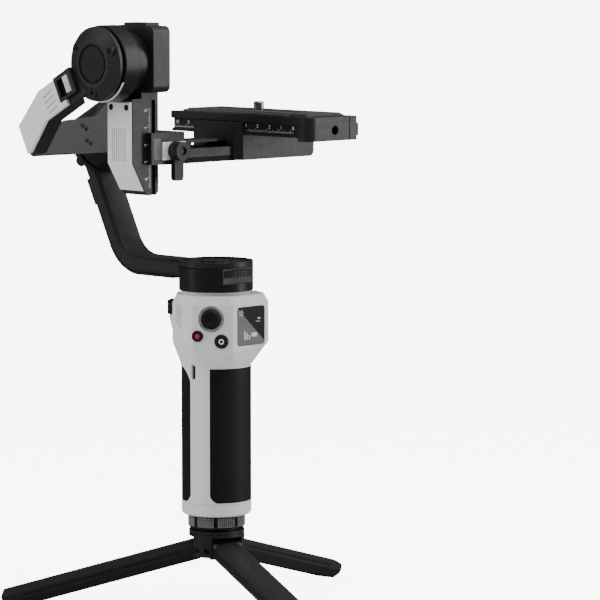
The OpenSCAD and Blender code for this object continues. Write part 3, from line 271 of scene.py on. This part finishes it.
def rounded(w, h, r, steps=6):
    """Outline of a rectangle with round corners."""
    out = []
    for cx, cy, start in ((1, 1, 0), (-1, 1, 90), (-1, -1, 180), (1, -1, 270)):
        for i in range(steps + 1):
            a = math.radians(start + 90 * i / steps)
            out.append((cx * (w / 2 - r) + r * math.cos(a), cy * (h / 2 - r) + r * math.sin(a)))
    return out


def lathe(bm, frame_at, profile, steps=96, start=0.0, turn=360.0):
    """Turns a closed (radius, height) profile in mm about a face's outward axis, all round or part way."""
    whole = turn >= 360
    rings = []
    for i in range(steps + (0 if whole else 1)):
        a = math.radians(start + turn * i / steps)
        rings.append([bm.verts.new(frame_at @ Vector((r * math.cos(a) * MM, r * math.sin(a) * MM, z * MM)))
                      for r, z in profile])
    for i in range(steps):
        a, b = rings[i], rings[(i + 1) % len(rings)]
        for k in range(len(profile)):
            m = (k + 1) % len(profile)
            bm.faces.new((a[k], b[k], b[m], a[m]))
    if not whole:
        bm.faces.new(rings[0][::-1])
        bm.faces.new(rings[-1])


def figure(bm, frame_at, text, x, y, height, turn=0.0, proud=0.03):
    """Adds a number in thin raised print, centred on x, y."""
    curve = bpy.data.curves.new("figure", "FONT")
    curve.body = text
    curve.align_x = "CENTER"
    curve.align_y = "CENTER"
    curve.size = height * MM * 1.35
    curve.extrude = proud * MM
    curve.resolution_u = 3
    holder = bpy.data.objects.new("figure", curve)
    bpy.context.scene.collection.objects.link(holder)
    graph = bpy.context.evaluated_depsgraph_get()
    mesh = bpy.data.meshes.new_from_object(holder.evaluated_get(graph))
    mesh.transform(frame_at @ Matrix.Translation((x * MM, y * MM, 0)) @ Matrix.Rotation(turn, 4, "Z"))
    bm.from_mesh(mesh)
    bpy.data.objects.remove(holder)
    bpy.data.meshes.remove(mesh)
    bpy.data.curves.remove(curve)


def lift(frame_at, height):
    return frame_at @ Matrix.Translation((0, 0, height * MM))


# ---------- the CAD parts ----------

dress(GREY, "handle_shell_front", "handle_shell_rear", "handle_base_cap", "roll_arm_cover",
      "tilt_arm_cover")
dress(GRIP, "grip_pad_right", "grip_pad_left")
dress(PAD_RUBBER_PAINTED_SHEEN, "plate_pad")
dress(RUBBER, "leg_pad_1", "leg_pad_2", "leg_pad_3", "joystick")
dress(BLACK, "tripod_hub", "leg_1", "leg_2", "leg_3", "record_button", "mode_button", "trigger",
      "pan_lock_slider", "plate_lever", "saddle_knob", "clamp_lever", "pan_arm_cover")
dress(COATED, "pan_arm", "roll_arm", "tilt_arm", "cross_arm", "saddle", "camera_plate")
dress(CAST, "tilt_motor_base")
dress(ANODISED, "pan_motor_housing", "roll_motor_base", "roll_motor_can", "tilt_motor_can",
      "mount_ring", "joystick_cradle")
dress(DARK_STEEL, "leg_pins", "handle_screws", "pan_arm_screws", "roll_arm_screws", "tilt_arm_screws")
dress(STEEL, "usb_socket", "base_socket", "camera_screw", "pan_rotor", "roll_rotor",
      "tilt_rotor")
dress(SHEETS, "pan_stator", "roll_stator", "tilt_stator")
dress(BRIGHT, "pan_bearings", "roll_bearings", "tilt_bearings")
dress(SILVER, "clamp_jaw", "roll_lock_slider", "tilt_lock_slider")
dress(BOARD, "main_board")
dress(SLEEVE, "battery_cells")

# ---------- knurl of the mounting ring ----------

RING_R = 16.9                      # radius of the ring under its knurl
KNURL_LOW, KNURL_HIGH = 51.9, 57.9
BANDS, COLUMNS, ROWS = 8, 8, 5     # bands round the ring, and the points in each band
PITCH = 1.36                       # distance between columns
POINT_FOOT, POINT_TOP = (0.58, 0.54, -0.1), (0.24, 0.22, 0.42)   # half width, half height, distance out
CORNERS = ((-1, -1), (1, -1), (1, 1), (-1, 1))


def knurl_point(bm, angle, z):
    """Adds one blunt pyramid of the knurl."""
    along = Vector((-math.sin(angle), math.cos(angle), 0))
    at = on_plane((math.cos(angle) * RING_R, math.sin(angle) * RING_R, z), along, (0, 0, 1))
    foot, top = ([bm.verts.new(at @ Vector((x * w * MM, y * h * MM, out * MM))) for x, y in CORNERS]
                 for w, h, out in (POINT_FOOT, POINT_TOP))
    for i in range(4):
        j = (i + 1) % 4
        bm.faces.new((foot[i], foot[j], top[j], top[i]))
    bm.faces.new(top)
    bm.faces.new(foot[::-1])


bm = bmesh.new()
row_h = (KNURL_HIGH - KNURL_LOW) / ROWS
for band in range(BANDS):
    middle = math.radians(360 / BANDS * (band + 0.5))
    for column in range(COLUMNS):
        angle = middle + (column - (COLUMNS - 1) / 2) * PITCH / RING_R
        for row in range(ROWS):
            knurl_point(bm, angle, KNURL_LOW + (row + 0.5) * row_h)
piece("ring_knurl", bm, GLINT_KNURL, "mount_ring", smooth=0.3)

# ---------- scales ----------

PRINT_LOW, PRINT_HIGH = -0.02, 0.03     # from just under a face to just over it
LINE_HALF, TICK_HALF = 0.09, 0.1        # half widths of the base line and the ticks
FIGURE_OUT = 2.9                        # from the base line to the middle of a figure


def scale(name, at, body, length, numbers, long_side, turn=0.0, height=2.6):
    """A centimetre scale along local X: a base line, millimetre ticks on the long_side, and numbers."""
    bm = bmesh.new()
    slab(bm, at, rect(0, -LINE_HALF, length, LINE_HALF), PRINT_LOW, PRINT_HIGH)
    for i in range(length + 1):
        tall = 1.9 if i % 10 == 0 else 1.35 if i % 5 == 0 else 0.85
        slab(bm, at, rect(i - TICK_HALF, 0, i + TICK_HALF, long_side * tall), PRINT_LOW, PRINT_HIGH)
    for value, x in numbers:
        figure(bm, at, value, x, long_side * FIGURE_OUT, height, turn)
    return piece(name, bm, MARK, body, smooth=0.3)


tilt_front = on_plane((-61.5, -10, 304.1), (0, 0, -1), (1, 0, 0))
scale("tilt_arm_scale", tilt_front, "tilt_arm", 46, [(str(i), 1 + 10 * i) for i in range(5)], -1,
      turn=math.pi)
plate_side = on_plane((6.0, 42.3, 288.9), (0, -1, 0), (0, 0, 1))
scale("plate_scale", plate_side, "camera_plate", 102, [(str(10 - i), 2 + 10 * i) for i in range(11)], 1,
      height=2.4)

# ---------- control head ----------


def face_plane(turn, d, u, z):
    """The plane of a control, from its face's turn and distance, as the CAD places it."""
    a = math.radians(turn + 90)
    right = Vector((math.cos(a), math.sin(a), 0))
    out = Vector((math.sin(a), -math.cos(a), 0))
    return on_plane((right.x * u + out.x * d, right.y * u + out.y * d, z), right, (0, 0, 1)), right


STICK_TURN, STICK_D = -141.0, 25.4
SCREEN_TURN, SCREEN_D = -88.3, 25.96

stick_face, _ = face_plane(STICK_TURN, STICK_D, 0.6, 178.5)
bm = bmesh.new()
lathe(bm, stick_face, [(7.62, -1.0), (7.62, 0.3), (7.8, 0.5), (8.3, 0.5), (8.75, 0.05), (8.75, -1.0)])
piece("stick_bezel", bm, GREY, "handle", smooth=0.9)

# A fixed grey collar closes the opening round the stick, low enough for the cap to tilt over it.
bm = bmesh.new()
lathe(bm, stick_face, [(7.55, -1.5), (7.55, -2.3), (3.2, -2.6), (3.2, -2.0)])
piece("stick_collar", bm, GREY, "handle", smooth=0.9)

record_face, _ = face_plane(STICK_TURN, STICK_D + 0.9, -7.6, 168.2)
bm = bmesh.new()
lathe(bm, record_face, [(0.01, -0.1), (0.01, 0.12), (1.2, 0.1), (1.4, 0.02), (1.5, -0.1)], 48)
piece("record_dot", bm, RED, "record_button", smooth=0.9)
bm = bmesh.new()
lathe(bm, record_face, [(2.5, -0.1), (2.5, 0.05), (2.62, 0.22), (2.95, 0.22), (3.15, 0.02), (3.15, -0.1)], 48)
piece("record_rim", bm, ANODISED, "record_button", smooth=0.9)

# A plain ring stands for the mode button's mark.
mode_face, _ = face_plane(STICK_TURN, STICK_D + 0.9, 6.7, 165.2)
bm = bmesh.new()
lathe(bm, mode_face, [(0.95, -0.05), (0.95, 0.05), (1.6, 0.05), (1.6, -0.05)], 48)
piece("mode_mark", bm, MARK, "mode_button", smooth=0.9)
bm = bmesh.new()
lathe(bm, mode_face, [(3.3, -0.1), (3.3, 0.04), (3.45, 0.2), (3.75, 0.2), (3.95, 0.02), (3.95, -0.1)], 48)
piece("mode_rim", bm, ANODISED, "mode_button", smooth=0.9)

screen_face, screen_right = face_plane(SCREEN_TURN, SCREEN_D, 3.0, 173.5)
screen_at = screen_face.translation
dress(screen_material(screen_at, screen_right), "screen_glass")
glass = lift(screen_face, 0.15)
bm = bmesh.new()
# A battery, two level bars and a small dial, all plain marks
for outline in (rect(-5.5, -8.2, -4.5, -3.0), rect(-3.6, -8.2, -2.6, -4.2), rect(-1.7, -8.2, -0.7, -5.4),
                rect(0.8, -6.6, 5.0, -4.2), rect(5.1, -5.9, 5.5, -4.9), rect(4.2, 2.2, 8.0, 2.5),
                rect(6.0, 3.6, 8.0, 4.6)):
    slab(bm, glass, outline, -0.02, 0.02)
dial = glass @ Matrix.Translation((-8.0 * MM, 8.0 * MM, 0))
lathe(bm, dial, [(0.9, -0.02), (0.9, 0.02), (1.35, 0.02), (1.35, -0.02)], 32)
for k in range(8):
    slab(bm, dial @ Matrix.Rotation(math.radians(45 * k), 4, "Z"), rect(1.7, -0.12, 2.4, 0.12), -0.02, 0.02)
piece("screen_marks", bm, ICON, "handle", smooth=0.3)

# ---------- motors and clamp ----------

TILT_Z = 330.5
# A silver arc on one stretch of the tilt motor's rim is a painted highlight, where the rim's edge catches
# light.
rim_highlight_plane = on_plane((-90.5, 0, TILT_Z), (0, -1, 0), (0, 0, 1))
bm = bmesh.new()
lathe(bm, rim_highlight_plane, [(21.5, -0.1), (21.5, 0.25), (22.0, 0.25), (22.27, -0.1), (22.27, -0.6), (22.0, -0.6)],
      60, start=-96, turn=68)
piece("tilt_rim_painted_highlight", bm, SILVER, "tilt_arm", smooth=0.9)

clamp_face = on_plane((-59.5, -14, 280.5), (1, 0, 0), (0, 0, 1))
bm = bmesh.new()
slab(bm, clamp_face, rounded(6.0, 12.6, 1.2), -0.1, 0.25)
piece("clamp_insert", bm, PAD_GREY, "cross_arm", bevel=0.1)

# ---------- floor, lights and camera ----------

WHITE_OUT = 8.0          # radiance of the backdrop as the camera sees it
AMBIENT = 0.45            # radiance of the room
MIRRORED = 0.12           # radiance of the room in reflections

AXIS = BASE * MM          # the foot of the pan axis
floor_z = cad_box[0].z
floor_mesh = bmesh.new()
FLOOR_HALF = 60.0         # the floor reaches far enough to have no visible edge
floor_mesh.faces.new([floor_mesh.verts.new((x * FLOOR_HALF, y * FLOOR_HALF, floor_z)) for x, y in CORNERS])
mesh = bpy.data.meshes.new("floor")
floor_mesh.to_mesh(mesh)
floor_mesh.free()
floor = bpy.data.objects.new("floor", mesh)
bpy.context.scene.collection.objects.link(floor)
paper = bpy.data.materials.new("studio_paper")
paper.use_nodes = True
tree = paper.node_tree
shader = tree.nodes["Principled BSDF"]
shader.inputs["Roughness"].default_value = 0.9
shader.inputs["Specular IOR Level"].default_value = 0.0
shader.inputs["Emission Color"].default_value = (1, 1, 1, 1)
path = node(tree, "ShaderNodeLightPath")
# The floor looks darker in reflections, so that it doesn't wash out the black parts.
tree.links.new(mixed(tree, path.outputs["Is Glossy Ray"], (0.8, 0.8, 0.8), (0.12, 0.12, 0.12)),
               shader.inputs["Base Color"])
tree.links.new(maths(tree, "MULTIPLY", path.outputs["Is Camera Ray"], WHITE_OUT - 1),
               shader.inputs["Emission Strength"])
mesh.materials.append(paper)

world = bpy.data.worlds.new("studio")
bpy.context.scene.world = world
world.use_nodes = True
tree = world.node_tree
path = node(tree, "ShaderNodeLightPath")
dimming = maths(tree, "MULTIPLY", path.outputs["Is Glossy Ray"], AMBIENT - MIRRORED)
soft = maths(tree, "SUBTRACT", AMBIENT, dimming)
strength = maths(tree, "MAXIMUM", soft, maths(tree, "MULTIPLY", path.outputs["Is Camera Ray"], WHITE_OUT))
tree.links.new(strength, tree.nodes["Background"].inputs["Strength"])
tree.nodes["Background"].inputs["Color"].default_value = (1, 1, 1, 1)


def softbox(name, azimuth, height, distance, w, h, power, mirrored=True):
    """An area light that looks at the middle of the gimbal."""
    a = math.radians(azimuth)
    target = AXIS + Vector((0, 0, 0.2))
    at = AXIS + Vector((math.sin(a) * distance, -math.cos(a) * distance, height))
    data = bpy.data.lights.new(name, "AREA")
    data.shape = "RECTANGLE"
    data.size = w
    data.size_y = h
    data.energy = power
    light = bpy.data.objects.new(name, data)
    bpy.context.scene.collection.objects.link(light)
    light.location = at
    light.rotation_euler = (target - at).to_track_quat("-Z", "Y").to_euler()
    light.visible_glossy = mirrored
    return light


softbox("left_box", -123, 0.5, 1.3, 0.24, 1.5, 3.2)
softbox("right_box", 43, 0.5, 1.3, 0.32, 1.5, 13)
softbox("key_box", -122, 0.8, 1.3, 1.0, 1.0, 14, mirrored=False)
softbox("top_box", 20, 1.9, 0.6, 1.4, 1.4, 34)

# The viewpoint is 2.1 m from the pan axis. It looks slightly down, with the gimbal left of the middle.
STAND_AZIMUTH, DISTANCE, EYE_Z = math.radians(-43.014), 2.1, 0.411
LOOK_AZIMUTH, LOOK_DOWN = math.radians(-44.381), math.radians(6.086)
LENS_MM, SENSOR_MM = 212.13, 36


def level(azimuth):
    return Vector((math.sin(azimuth), -math.cos(azimuth), 0))


camera = bpy.data.cameras.new("camera")
camera.sensor_width = SENSOR_MM
camera.lens = LENS_MM
viewer = bpy.data.objects.new("camera", camera)
bpy.context.scene.collection.objects.link(viewer)
viewer.location = AXIS + level(STAND_AZIMUTH) * DISTANCE + Vector((0, 0, EYE_Z))
back = level(LOOK_AZIMUTH) * math.cos(LOOK_DOWN) + Vector((0, 0, math.sin(LOOK_DOWN)))
viewer.rotation_euler = (-back).to_track_quat("-Z", "Y").to_euler()
bpy.context.scene.camera = viewer
